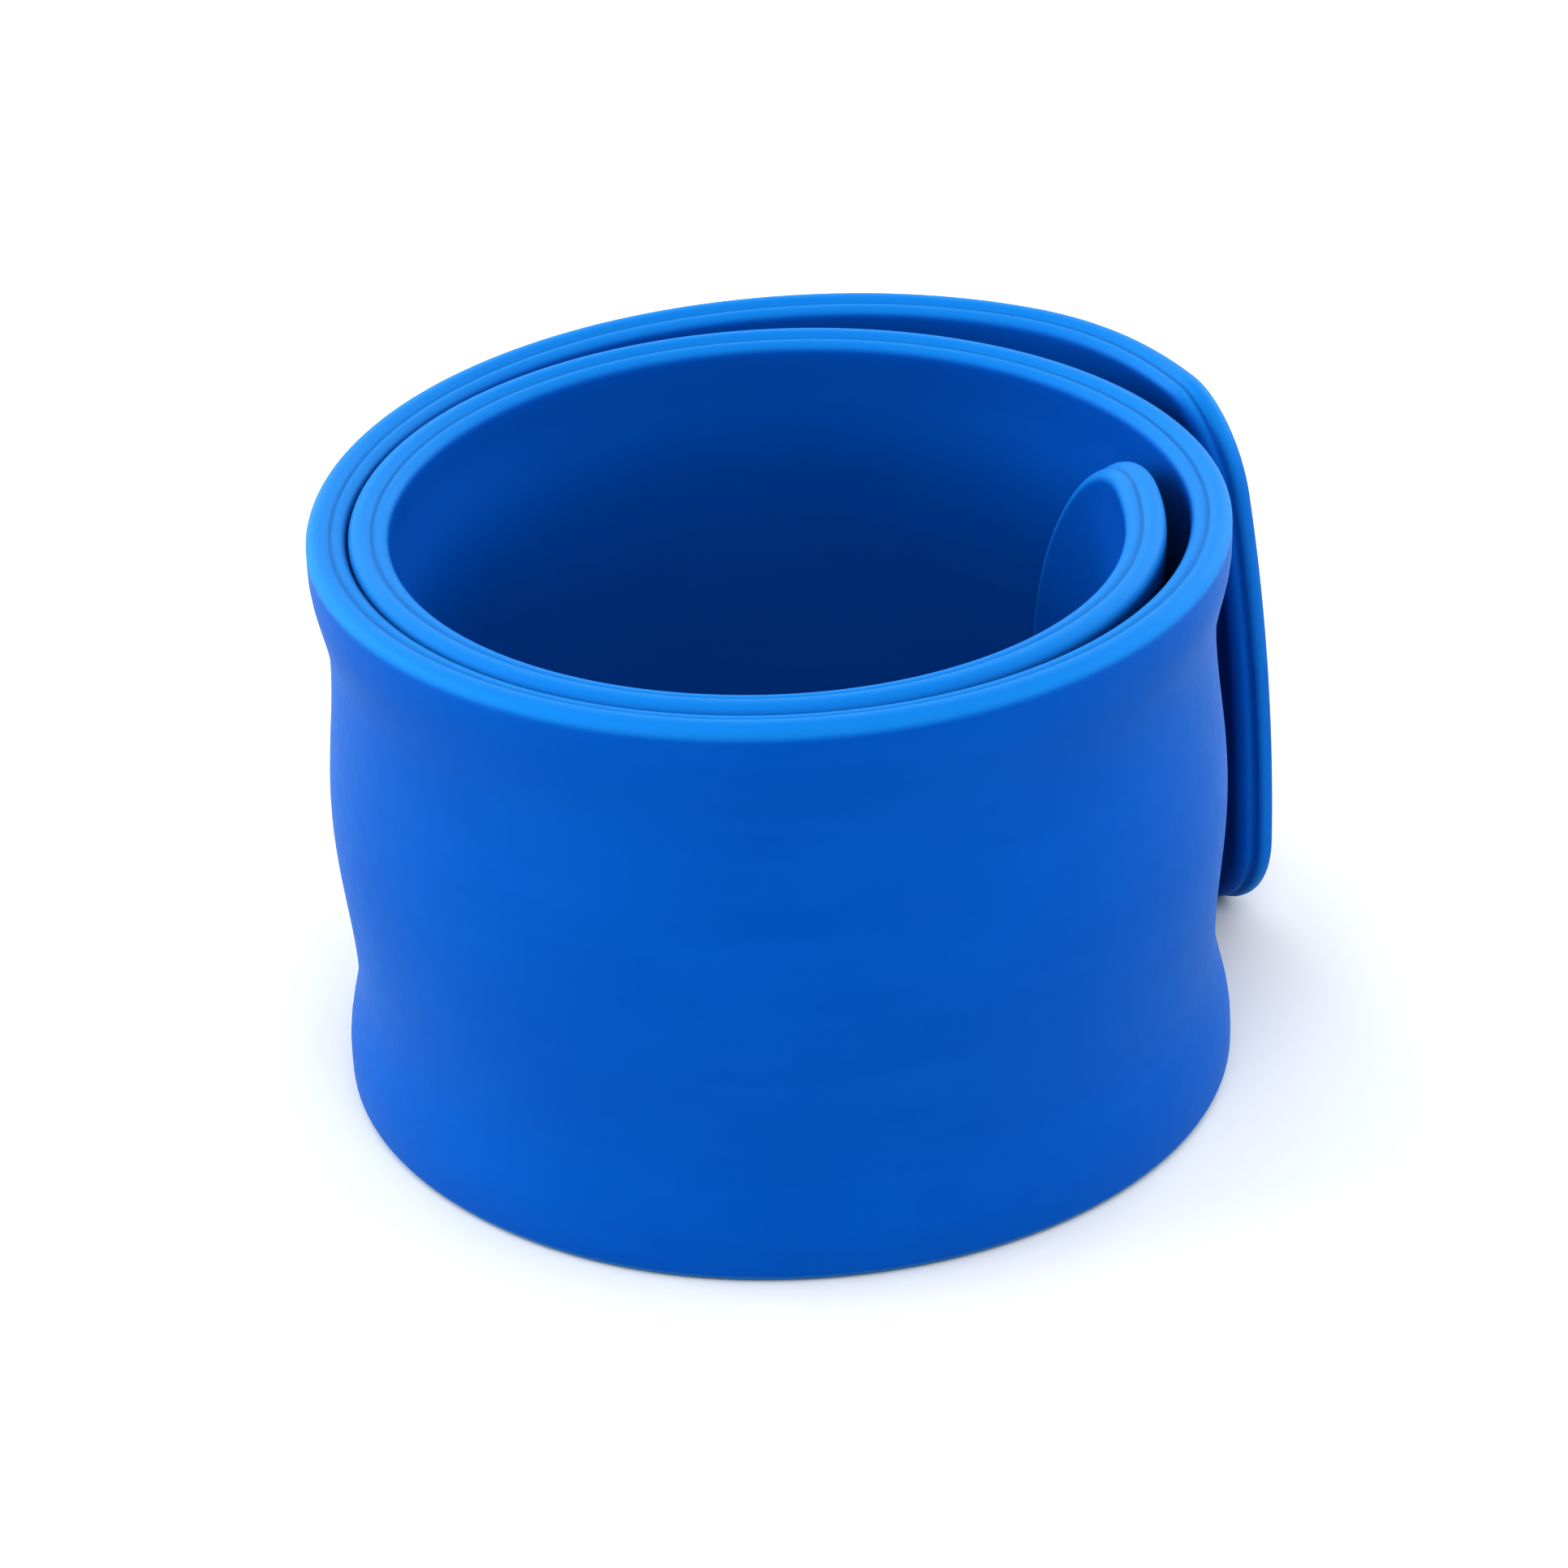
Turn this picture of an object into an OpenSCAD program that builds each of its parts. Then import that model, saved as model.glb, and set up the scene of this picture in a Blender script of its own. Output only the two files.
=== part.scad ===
// Slap bracelet, snapped shut into a coil that stands on the band's edge.
// The band is one silicone moulding with a lip along both edges. It winds
// about two turns, clockwise from above: from a round inner end, which curls
// into the hollow, to a square outer flap, which stands off the coil.

/* [Band] */
// Width of the band, which is the height of the coil on its edge
band_w = 25.4; // [24.4:0.1:26.4]
// Thickness of the wall
wall_t = 1.7; // [1.5:0.05:1.75]
// Radius that rounds both long edges
edge_r = 0.7; // [0.4:0.05:0.7]
// Radius of the flap's two corners
flap_corner_r = 4.2; // [2:0.1:4.4]

/* [Wall section] */
// Height of the upright lip along each edge
lip_h = 2.0; // [1:0.1:3]
// Distance of each waist from the nearer edge
waist_h = 5.4; // [4:0.1:7]
// How far the waists draw in from the lips, towards the hollow
waist_in = 0.65; // [0.3:0.05:0.9]
// How far the middle of the wall draws in from the lips
middle_in = 0.15; // [0:0.05:0.3]

/* [Pips] */
// Width of the raised pip near each end, on the outer face
pip_d = 2.8; // [2:0.1:4]
// Height that a pip stands proud of the face
pip_h = 0.4; // [0.2:0.05:0.5]
// Distance of each pip from its end of the band
pip_from_end = 7.6; // [6:0.1:10]

/* [Hidden] */
$fn = 96;

// The middle line of the wall, seen from above, is a chain of arcs that run
// on from each other, all turning clockwise. The first makes the round end
// and the last the flap. Those between are quarter turns, so that they meet
// on lines along X or Y. The chain is drawn about the round end's root,
// where it heads along -Y.
SWEEP = 0; // degrees
RADIUS = 1; // mm
arcs = [
    [44, 17.9],
    [90, 15.4],
    [90, 16.2],
    [90, 17.2],
    [90, 17.1],
    [90, 18.2],
    [90, 18.0],
    [90, 20.9],
    [68, 18.6]
];
root_heading = -90;
last_arc = len(arcs) - 1;

middle_z = band_w / 2;
land_half = wall_t / 2 - edge_r;
// How far an end's outline passes the wall that it trims
overcut = 0.1;
// Length of the blocks that trim the ends, across the wall
trim_depth = 30;

// Places along the middle line
function left_of(heading) = [-sin(heading), cos(heading)];
function heading_at(i) =
    i == 0 ? root_heading + arcs[0][SWEEP]
        : i == 1 ? root_heading
        : heading_at(i - 1) - arcs[i - 1][SWEEP];
function centre_of(i) =
    (i <= 1 ? [0, 0] : arc_point(i - 1, arcs[i - 1][SWEEP]))
    - arcs[i][RADIUS] * left_of(i == 0 ? root_heading : heading_at(i));
function arc_point(i, turned, out = 0) =
    centre_of(i) + (arcs[i][RADIUS] + out) * left_of(heading_at(i) - turned);
function arc_length(i) = arcs[i][SWEEP] * PI / 180 * arcs[i][RADIUS];
function turned_by(i, distance) = distance / arcs[i][RADIUS] * 180 / PI;
function which_arc(distance, i = 0) =
    i == last_arc || distance <= arc_length(i) ? i : which_arc(distance - arc_length(i), i + 1);
function length_before(i) = i == 0 ? 0 : length_before(i - 1) + arc_length(i - 1);
function path_turn(distance) =
    let (i = which_arc(distance)) [i, turned_by(i, distance - length_before(i))];
function path_point(distance) = let (t = path_turn(distance)) arc_point(t[0], t[1]);
function path_heading(distance) =
    let (t = path_turn(distance)) heading_at(t[0]) - t[1];

path_length = length_before(len(arcs));

// The coil's own middle, worked out from the reach of its outer face. The
// lips reach furthest, but the flap's corners leave only the middle of the
// wall at its tip.
reach_step = 0.5; // degrees
outer_face = [
    for (i = [0 : last_arc])
        for (turned = [0 : reach_step : arcs[i][SWEEP]])
            arc_point(i, turned, wall_t / 2 - (i == last_arc ? middle_in : 0))
];
function middle_of(values) = (min(values) + max(values)) / 2;
coil_middle = [
    middle_of([for (p = outer_face) p[0]]),
    middle_of([for (p = outer_face) p[1]])
];

// Section of the wall: x points out of the coil and y is up. Each blend
// between two depths, and each rounded edge, is a few straight steps.
blend_steps = 3;
edge_steps = 3;
function blend(share) = (1 - cos(180 * share)) / 2;
function draw_in(z) =
    let (near = min(z, band_w - z))
        near <= lip_h ? 0
            : near <= waist_h ? waist_in * blend((near - lip_h) / (waist_h - lip_h))
            : waist_in + (middle_in - waist_in) * blend((near - waist_h) / (middle_z - waist_h));
lower_levels = concat(
    [for (k = [0 : blend_steps]) lip_h + k / blend_steps * (waist_h - lip_h)],
    [for (k = [1 : blend_steps - 1]) waist_h + k / blend_steps * (middle_z - waist_h)]
);
levels = concat(
    lower_levels,
    [middle_z],
    [for (k = [len(lower_levels) - 1 : -1 : 0]) band_w - lower_levels[k]]
);
edge_quarter = [for (k = [0 : edge_steps]) 90 * k / edge_steps];
function lower_edge_point(a) = [land_half + edge_r * sin(a), edge_r - edge_r * cos(a)];
right_side = concat(
    [for (a = edge_quarter) lower_edge_point(a)],
    [for (z = levels) [wall_t / 2 - draw_in(z), z]]
);
left_side = concat(
    [for (a = edge_quarter) [-lower_edge_point(a)[0], lower_edge_point(a)[1]]],
    [for (z = levels) [-wall_t / 2 - draw_in(z), z]]
);
top_right = [
    for (k = [edge_steps : -1 : 0])
        let (p = lower_edge_point(edge_quarter[k])) [p[0], band_w - p[1]]
];
top_left = [
    for (k = [0 : edge_steps])
        let (p = lower_edge_point(edge_quarter[k])) [-p[0], band_w - p[1]]
];
function reversed(list) = [for (k = [len(list) - 1 : -1 : 0]) list[k]];

module wall_section() {
    polygon(concat(right_side, top_right, top_left, reversed(left_side)));
}

module arc_wall(i) {
    sweep = arcs[i][SWEEP];
    translate(centre_of(i))
        rotate_extrude(angle = sweep, start = heading_at(i) + 90 - sweep)
            translate([arcs[i][RADIUS], 0])
                wall_section();
}

// A block that keeps what lies inside an outline drawn on the unrolled band:
// its points hold the distance along the band and the height
module keep_outline(points, at_distance) {
    heading = path_heading(at_distance);
    along = [cos(heading), sin(heading)];
    from = path_point(at_distance);
    translate(from)
        rotate(heading)
            rotate([90, 0, 0])
                linear_extrude(height = trim_depth, center = true)
                    polygon([for (p = points) [(path_point(p[0]) - from) * along, p[1]]]);
}

// Angle between the points of the half circle, which leaves the tip itself
// inside a short flat, and between those of the flap's corners
half_circle_step = 7.2;
corner_step = 15;
// How far the kept outline runs on past the root of an end
root_margin = 3;

// Round inner end, a half circle as wide as the band
module round_end() {
    end_r = band_w / 2;
    root_at = arc_length(0);
    half_circle = [
        for (a = [-90 : half_circle_step : 90])
            [end_r - (end_r + overcut) * cos(a), middle_z + (end_r + overcut) * sin(a)]
    ];
    past_root = [[root_at + root_margin, band_w + overcut], [root_at + root_margin, -overcut]];
    intersection() {
        arc_wall(0);
        keep_outline(concat(half_circle, past_root), root_at / 2);
    }
}

// Square flap with two rounded corners
module flap_end() {
    corner_at = path_length - flap_corner_r;
    root_at = length_before(last_arc);
    quarter = [
        for (a = [0 : corner_step : 90])
            (flap_corner_r + overcut) * [cos(a), sin(a)]
    ];
    lower = [for (q = quarter) [corner_at + q[0], flap_corner_r - q[1]]];
    upper = [for (q = quarter) [corner_at + q[0], band_w - flap_corner_r + q[1]]];
    past_root = [[root_at - root_margin, band_w + overcut], [root_at - root_margin, -overcut]];
    intersection() {
        arc_wall(last_arc);
        keep_outline(concat(reversed(lower), upper, past_root), corner_at);
    }
}

// Raised round pip on the outer face
module pip(at_distance) {
    pip_r = pip_d / 2;
    face = wall_t / 2 - middle_in;
    dome_r = (pip_r * pip_r + pip_h * pip_h) / (2 * pip_h);
    from = path_point(at_distance);
    translate([from[0], from[1], middle_z])
        rotate([0, 90, path_heading(at_distance) + 90])
            intersection() {
                cylinder(r = pip_r, h = face + pip_h + overcut);
                translate([0, 0, face + pip_h - dome_r])
                    sphere(r = dome_r);
            }
}

module silicone_band() {
    color([0.04, 0.46, 0.93])
        translate(-coil_middle)
            union() {
                round_end();
                for (i = [1 : last_arc - 1])
                    arc_wall(i);
                flap_end();
                pip(pip_from_end);
                pip(path_length - pip_from_end);
            }
}

silicone_band();
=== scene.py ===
import math

import bmesh
import bpy
from mathutils import Euler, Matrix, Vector


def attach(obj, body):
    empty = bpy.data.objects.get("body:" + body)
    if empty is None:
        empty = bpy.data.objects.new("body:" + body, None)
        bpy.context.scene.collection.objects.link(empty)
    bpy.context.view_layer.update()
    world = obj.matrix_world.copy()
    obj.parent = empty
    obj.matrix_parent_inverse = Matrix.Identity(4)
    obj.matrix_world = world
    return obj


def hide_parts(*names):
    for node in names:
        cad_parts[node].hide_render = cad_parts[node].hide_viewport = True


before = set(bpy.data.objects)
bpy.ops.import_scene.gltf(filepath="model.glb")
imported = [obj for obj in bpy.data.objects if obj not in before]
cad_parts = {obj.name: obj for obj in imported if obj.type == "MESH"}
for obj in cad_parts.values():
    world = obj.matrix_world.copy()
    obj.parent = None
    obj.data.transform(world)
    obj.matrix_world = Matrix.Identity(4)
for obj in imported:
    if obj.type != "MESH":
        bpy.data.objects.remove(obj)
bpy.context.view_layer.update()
print("frame loaded:", ", ".join(sorted(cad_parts)))


# The band is modelled flat, in metres: x runs along it from the inner tip, y out of the
# coil and z up. Then it is wound round a chain of arcs.
band = {
    "width": 0.0254,
    "thick": 0.0017,
    "tip": (0.010310, 0.009877),  # inner tip of the middle line, seen from above
    "tipHeading": -51.6,  # degrees
    "arcs": (  # degrees that the middle line turns, and its radius
        (38.4, 0.0195), (90, 0.0155), (90, 0.016285), (90, 0.017345), (90, 0.01714),
        (90, 0.0182), (90, 0.0180), (90, 0.0209), (68, 0.0186),
    ),
    "lip": 0.0013,  # height of the upright lip along each edge
    "waist": 0.0054,  # height of each waist from its edge
    "waistIn": 0.00065,  # how far the waists draw in
    "middleIn": 0.00015,  # how far the middle of the wall draws in
    "waistKept": 0.35,  # share of the waists left at the coil's front and back
    "flapCorner": 0.0042,
    "stepAlong": 0.0007,  # size of the mesh's faces
    "stepAcross": 0.0006,
    "endReach": 0.00997,  # length of the round inner end
    "endPlain": (0.0030, 0.0100),  # where its waists start, and how soon they are full
    "endSteps": 84,
    "cornerSteps": 16,  # round each corner of the flap
    # how far the flap's tip stands out at its top, and that curve's slope and bend further down
    "flapLean": (-0.00143, 0.00476, -0.0030),
    "flapReach": 0.0138,  # length of the flap that leans
    "footIn": 0.00060,  # how far the coil's left side draws in at its foot
    "footCurve": 1.5,
}

rim = {
    "innerRound": 0.00036,
    "outerRound": 0.00052,
    "innerLower": 0.00032,  # how much lower the inner bead lies at the inner face
    "roundSteps": 7,
    "seamFromInner": 0.00074,
    "seamWide": 0.00042,
    "seamDeep": 0.00020,
    "shoulderRound": 0.00015,
    "shoulderSteps": 2,
    "narrowerBelow": 1.0,  # share by which the painted rim light reaches less far on the lower rim, which is more in shade
    "narrowerInside": 0.35,  # and on the inner face
    "flapEndFurther": 0.00055,  # makes the painted rim light on the flap's shaded end about half as strong
}

pip = {
    "wide": 0.0028,
    "high": 0.0004,
    "fromTip": 0.0069,
    "fromFlap": 0.0076,
    "finer": 4,  # cuts of each edge under it
    "finerReach": 1.5,  # how far the finer mesh reaches, in the pip's radii
    "facing": 0.9,  # how squarely a face looks outward to be cut
    "bluntness": 0.8,  # 1 would be a plain dome
}

hair = 1e-6  # for telling places apart


def outwardAt(heading):
    return Vector((-math.sin(heading), math.cos(heading), 0))


def arcChain():
    chain, along = [], 0.0
    point, heading = Vector((*band["tip"], 0)), math.radians(band["tipHeading"])
    for degrees, radius in band["arcs"]:
        centre = point - radius * outwardAt(heading)
        chain.append((along, heading, centre, radius))
        along += math.radians(degrees) * radius
        heading -= math.radians(degrees)
        point = centre + radius * outwardAt(heading)
    return chain, along


def ease(share):
    return (1 - math.cos(math.pi * min(max(share, 0), 1))) / 2


def drawIn(z):  # how far the wall draws in at a height
    near = min(z, band["width"] - z)
    toWaist = ease((near - band["lip"]) / (band["waist"] - band["lip"]))
    toMiddle = ease((near - band["waist"]) / (band["width"] / 2 - band["waist"]))
    return band["waistIn"] * toWaist + (band["middleIn"] - band["waistIn"]) * toMiddle


def levels(start, end, step):
    count = max(1, round((end - start) / step))
    return [start + (end - start) * k / count for k in range(count + 1)]


def edgesAt(mesh, test):
    return [e for e in mesh.edges if all(test(v.co) for v in e.verts)]


def cutAt(mesh, places, axis):
    normal = Vector((0, 0, 0))
    normal[axis] = 1
    for place in places:
        bmesh.ops.bisect_plane(
            mesh, geom=mesh.verts[:] + mesh.edges[:] + mesh.faces[:],
            dist=hair, plane_co=normal * place, plane_no=normal)


# Half of the wall's section as loose edges, from mid-height down round the lower rim
def halfSection(mesh):
    half, middle, x = band["thick"] / 2, band["width"] / 2, band["width"] / 2
    seam = rim["seamFromInner"] - half
    shoulder = rim["seamWide"] / 2
    slope = rim["innerLower"] / (seam + shoulder + half)
    corners = [mesh.verts.new((x, y, z)) for y, z in (
        (half, middle), (half, 0), (seam + shoulder, 0),
        (seam, rim["seamDeep"] + slope * shoulder), (seam - shoulder, slope * 2 * shoulder),
        (-half, rim["innerLower"]), (-half, middle))]
    mesh.faces.new(corners)
    for at, size, count in (
            (1, rim["outerRound"], rim["roundSteps"]),
            (5, rim["innerRound"], rim["roundSteps"]),
            (2, rim["shoulderRound"], rim["shoulderSteps"]),
            (4, rim["shoulderRound"], rim["shoulderSteps"])):
        bmesh.ops.bevel(
            mesh, geom=[corners[at]], offset=size, offset_type="OFFSET", segments=count,
            profile=0.5, affect="VERTICES", material=-1)
    bmesh.ops.delete(mesh, geom=mesh.faces[:], context="FACES_ONLY")
    across = edgesAt(mesh, lambda p: p.z > middle - hair)
    bmesh.ops.delete(mesh, geom=across, context="EDGES")
    corner = band["flapCorner"]
    heights = levels(rim["outerRound"], corner, band["stepAcross"])[1:]
    cutAt(mesh, heights + levels(corner, middle, band["stepAcross"])[1:-1], 2)


def sweep(mesh, edges, steps, angle=0, centre=(0, 0, 0), along=(0, 0, 0)):
    ends = dict.fromkeys(v for e in edges for v in e.verts)
    bmesh.ops.spin(
        mesh, geom=edges + list(ends), cent=centre, axis=(0, 1, 0),
        angle=angle, dvec=[c / steps for c in along], steps=steps)
    bmesh.ops.remove_doubles(mesh, verts=mesh.verts[:], dist=2 * hair)


def flatBand(length):
    width, corner = band["width"], band["flapCorner"]
    near = 10 * hair
    flat = bmesh.new()
    halfSection(flat)
    sweep(flat, flat.edges[:], band["endSteps"], math.pi, (width / 2, 0, width / 2))
    straight = length - corner - width / 2
    start = edgesAt(flat, lambda p: p.x > width / 2 - near)
    sweep(flat, start, round(straight / band["stepAlong"]), along=(straight, 0, 0))
    root = length - corner
    for low, high, at, turned in (
            (0, corner, corner, -math.pi / 2),
            (width - corner, width, width - corner, math.pi / 2)):
        rimEnd = edgesAt(flat, lambda p: p.x > root - near and low - near < p.z < high + near)
        sweep(flat, rimEnd, band["cornerSteps"], turned, (root, 0, at))
    end = edgesAt(flat, lambda p: p.x > root - near and abs(p.z - corner) < near)
    rows = 2 * (len(levels(corner, width / 2, band["stepAcross"])) - 1)
    sweep(flat, end, rows, along=(0, 0, width - 2 * corner))
    bmesh.ops.recalc_face_normals(flat, faces=flat.faces[:])
    return flat


def raisePip(flat, place):
    centre = Vector((place, band["thick"] / 2, band["width"] / 2))
    reach = pip["wide"] / 2
    near = [
        f for f in flat.faces if f.normal.y > pip["facing"]
        and (f.calc_center_median() - centre).length < reach * pip["finerReach"]]
    edges = dict.fromkeys(e for f in near for e in f.edges)
    bmesh.ops.subdivide_edges(flat, edges=list(edges), cuts=pip["finer"], use_grid_fill=True)
    for v in flat.verts:
        away = (v.co - centre).length / reach
        if away < 1:
            v.co.y += pip["high"] * math.sqrt(1 - away ** 2) ** pip["bluntness"]


# Distance from the flat band's nearest edge, for the painted rim light: longer where the rim is
# more in shade and gets less of it
def edgeDistance(x, y, z, flapTip):
    half, corner = band["width"] / 2, band["flapCorner"]
    away = half - (math.hypot(x - half, z - half) if x < half else abs(z - half))
    pastRoot, pastSide = x - (flapTip - corner), corner - away
    reach = math.hypot(max(pastRoot, 0), max(pastSide, 0))
    if pastRoot > 0:
        away = corner - reach
    inside = y < rim["seamFromInner"] - band["thick"] / 2
    narrower = rim["narrowerBelow"] if z < half else rim["narrowerInside"] if inside else 0
    turned = max(pastRoot, 0) / reach if reach > 0 else 0
    return away * (1 + narrower * ease((x - half) / half)) + rim["flapEndFurther"] * turned


def windUp(mesh, chain, length):
    start, slope, bend = band["flapLean"]
    plain, fade = band["endPlain"]
    for v in mesh.verts:
        x, y, z = v.co
        depth = 1 - z / band["width"]
        share = ease((x - length + band["flapReach"]) / band["flapReach"])
        along, heading, centre, radius = [arc for arc in chain if arc[0] <= max(x, 0)][-1]
        outward = outwardAt(heading - (x - along) / radius)
        waist = band["waistKept"] + (1 - band["waistKept"]) * outward.x ** 2
        y += share * (start + slope * depth + bend * depth ** 2)
        y -= drawIn(z) * waist * (1 - share) * ease((x - plain) / fade)
        place = centre + (radius + y) * outward
        footIn = band["footIn"] * max(depth, 0) ** band["footCurve"] * ease(-place.x / radius)
        v.co = (place.x + footIn, place.y, z)


class Wire:  # a socket that shader maths can be written with
    def __init__(self, graph, socket):
        self.graph, self.socket = graph, socket

    def maths(self, operation, other):
        return self.graph.add("ShaderNodeMath", {"operation": operation}, {0: self, 1: other})

    def __add__(self, other):
        return self.maths("ADD", other)

    def __mul__(self, other):
        return self.maths("MULTIPLY", other)

    __radd__, __rmul__ = __add__, __mul__

    def between(self, low, high):  # 0 at low, 1 at high, eased
        return self.graph.add(
            "ShaderNodeMapRange", {"interpolation_type": "SMOOTHSTEP"},
            {"Value": self, "From Min": low, "From Max": high}, "Result")


class Graph:
    def __init__(self, name):
        self.material = bpy.data.materials.new(name)
        self.material.use_nodes = True
        self.nodes = self.material.node_tree.nodes
        self.links = self.material.node_tree.links
        self.shader = self.nodes["Principled BSDF"]

    def add(self, kind, settings, values, output=0):
        node = self.nodes.new(kind)
        for name, value in settings.items():
            setattr(node, name, value)
        self.fill(node, values)
        return Wire(self, node.outputs[output])

    def fill(self, node, values):
        for name, value in values.items():
            if isinstance(value, Wire):
                self.links.new(value.socket, node.inputs[name])
            else:
                node.inputs[name].default_value = value

    def noise(self, place, scale, detail, roughness=0.5):
        return self.add(
            "ShaderNodeTexNoise", {},
            {"Vector": place, "Scale": scale, "Detail": detail, "Roughness": roughness}, "Fac")

    def scaled(self, place, factors):
        return self.add(
            "ShaderNodeVectorMath", {"operation": "MULTIPLY"}, {0: place, 1: factors}, "Vector")

    def mix(self, factor, first, second):
        return self.add(
            "ShaderNodeMix", {"data_type": "RGBA"}, {0: factor, 6: first, 7: second}, 2)


silicone = {
    "blue": (0.0006, 0.0895, 0.322, 1),
    "lighter": (0.0009, 0.0955, 0.336, 1),
    # rim colour is painted light: the upward-facing rims lit from above, with their bead highlights
    "paintedRimLight": (0.0120, 0.180, 0.432, 1),
    "paintedRimLightReach": (0.0008, 0.0004),  # where the painted rim light starts and where it is full
    "roughness": (0.42, 0.52),
    "ior": 1.42,
    "specular": 0.2,
    "specularTint": (0.1, 0.5, 1.0, 1),
    "subsurface": 0.06,
    "scatter": (0.25, 0.7, 1.5),  # relative reach of red, green and blue
    "scatterReach": 0.0012,
    "streaks": (90.0, 400.0, 900.0),  # along, through and across the band
    "streakDetail": 3.0,
    "clouds": (160.0, 2.0),  # scale and detail
    "grain": (9000.0, 2.0, 0.6),  # scale, detail and roughness
    "mottle": (1500.0, 3.0),
    "streakShare": 0.45,
    "toneRange": (0.35, 0.65),
    "bumpStrength": 0.12,
    "bumpHeight": 0.00004,
}


def makeSilicone():
    graph = Graph("silicone")
    flat = graph.add("ShaderNodeAttribute", {"attribute_name": "flatPlace"}, {}, "Vector")
    streaks = graph.noise(graph.scaled(flat, silicone["streaks"]), 1.0, silicone["streakDetail"])
    clouds = graph.noise(flat, *silicone["clouds"])
    grain = graph.noise(flat, *silicone["grain"])
    mottle = graph.noise(flat, *silicone["mottle"])
    share = silicone["streakShare"]
    tone = (streaks * share + clouds * (1 - share)).between(*silicone["toneRange"])
    low, high = silicone["roughness"]
    bump = graph.add("ShaderNodeBump", {}, {
        "Strength": silicone["bumpStrength"], "Distance": silicone["bumpHeight"],
        "Height": grain * 0.5 + mottle * 0.5}, "Normal")
    paintedRimLightDistance = graph.add("ShaderNodeAttribute", {"attribute_name": "paintedRimLightDistance"}, {}, "Fac")
    start, full = silicone["paintedRimLightReach"]
    body = graph.mix(tone, silicone["blue"], silicone["lighter"])
    # near the edges the base colour turns to the rim colour, which is painted light on the rims
    graph.fill(graph.shader, {
        "Base Color": graph.mix(paintedRimLightDistance.between(start, full), body, silicone["paintedRimLight"]),
        "Roughness": low + (high - low) * mottle,
        "IOR": silicone["ior"],
        "Specular IOR Level": silicone["specular"],
        "Specular Tint": silicone["specularTint"],
        "Subsurface Weight": silicone["subsurface"],
        "Subsurface Radius": silicone["scatter"],
        "Subsurface Scale": silicone["scatterReach"],
        "Normal": bump,
    })
    return graph.material


def makeBand():
    chain, length = arcChain()
    half, reach = band["width"] / 2, band["endReach"]
    flapTip = length + half - reach  # while the round end is still a half circle
    flat = flatBand(flapTip)
    # distance from the edges, which places the painted rim light
    paintedRimLightDistance = flat.verts.layers.float.new("paintedRimLightDistance")
    for v in flat.verts:
        v[paintedRimLightDistance] = edgeDistance(*v.co, flapTip)
        v.co.x = reach + (v.co.x - half) * (reach / half if v.co.x < half else 1)
    for place in (pip["fromTip"], length - pip["fromFlap"]):
        raisePip(flat, place)
    flatPlace = flat.verts.layers.float_vector.new("flatPlace")
    for v in flat.verts:
        v[flatPlace] = v.co
    windUp(flat, chain, length)
    data = bpy.data.meshes.new("silicone_band")
    flat.to_mesh(data)
    flat.free()
    data.shade_smooth()
    piece = bpy.data.objects.new("siliconeBand", data)
    bpy.context.scene.collection.objects.link(piece)
    data.materials.append(makeSilicone())
    print("band:", len(data.polygons), "faces,", round(length * 1000, 1), "mm long")
    return piece


bandPiece = makeBand()
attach(bandPiece, "root")
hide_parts("silicone_band")


studio = {
    "floor": 6.0,
    "floorColour": (0.60, 0.60, 0.60, 1),
    "floorRoughness": 0.8,
    "world": 0.5,
    "away": 0.9,  # distance of each light from the coil
    "wide": 0.7,  # side of each square light
    "lights": (  # degrees round from the front to the right, degrees up, watts
        (0, 50, 5.9), (-45, 20, 2.8), (45, 20, 3.2), (-90, 20, 9.8), (90, 20, 5.4),
        (-135, 25, 3.9), (135, 25, 5.0), (180, 30, 2.5),
    ),
    "gamma": 0.7,
}


def makeStudio():
    mesh = bmesh.new()
    bmesh.ops.create_grid(mesh, x_segments=1, y_segments=1, size=studio["floor"] / 2)
    data = bpy.data.meshes.new("floor")
    mesh.to_mesh(data)
    mesh.free()
    floor = bpy.data.objects.new("floor", data)
    bpy.context.scene.collection.objects.link(floor)
    paint = Graph("paleFloor")
    paint.fill(paint.shader, {
        "Base Color": studio["floorColour"], "Roughness": studio["floorRoughness"]})
    data.materials.append(paint.material)
    for number, (around, up, watts) in enumerate(studio["lights"]):
        lamp = bpy.data.lights.new(f"softLight{number}", "AREA")
        lamp.size, lamp.energy = studio["wide"], watts
        light = bpy.data.objects.new(f"softLight{number}", lamp)
        turned = Euler((math.radians(90 - up), 0, math.radians(around)))
        light.location = Vector((0, 0, studio["away"]))
        light.location.rotate(turned)
        light.rotation_euler = turned
        bpy.context.scene.collection.objects.link(light)
    world = bpy.data.worlds.new("tent")
    world.use_nodes = True
    sky = world.node_tree.nodes["Background"].inputs
    sky["Color"].default_value = (1, 1, 1, 1)
    sky["Strength"].default_value = studio["world"]
    bpy.context.scene.world = world
    bpy.context.scene.view_settings.view_transform = "Standard"
    bpy.context.scene.view_settings.gamma = studio["gamma"]
    print("studio: a floor and", len(studio["lights"]), "soft lights")


makeStudio()


shot = {
    "place": (0.0090947, -0.253895, 0.149797),
    "turn": (61.4963, 1.5455, 1.3543),  # degrees
    "lens": 158,
    "sensor": 36,
    "nearest": 0.01,
}


def makeCamera():
    data = bpy.data.cameras.new("camera")
    data.lens = shot["lens"]
    data.sensor_width = shot["sensor"]
    data.clip_start = shot["nearest"]
    camera = bpy.data.objects.new("camera", data)
    camera.location = shot["place"]
    camera.rotation_euler = [math.radians(a) for a in shot["turn"]]
    bpy.context.scene.collection.objects.link(camera)
    bpy.context.scene.camera = camera
    print("camera:", shot["lens"], "mm lens")


makeCamera()
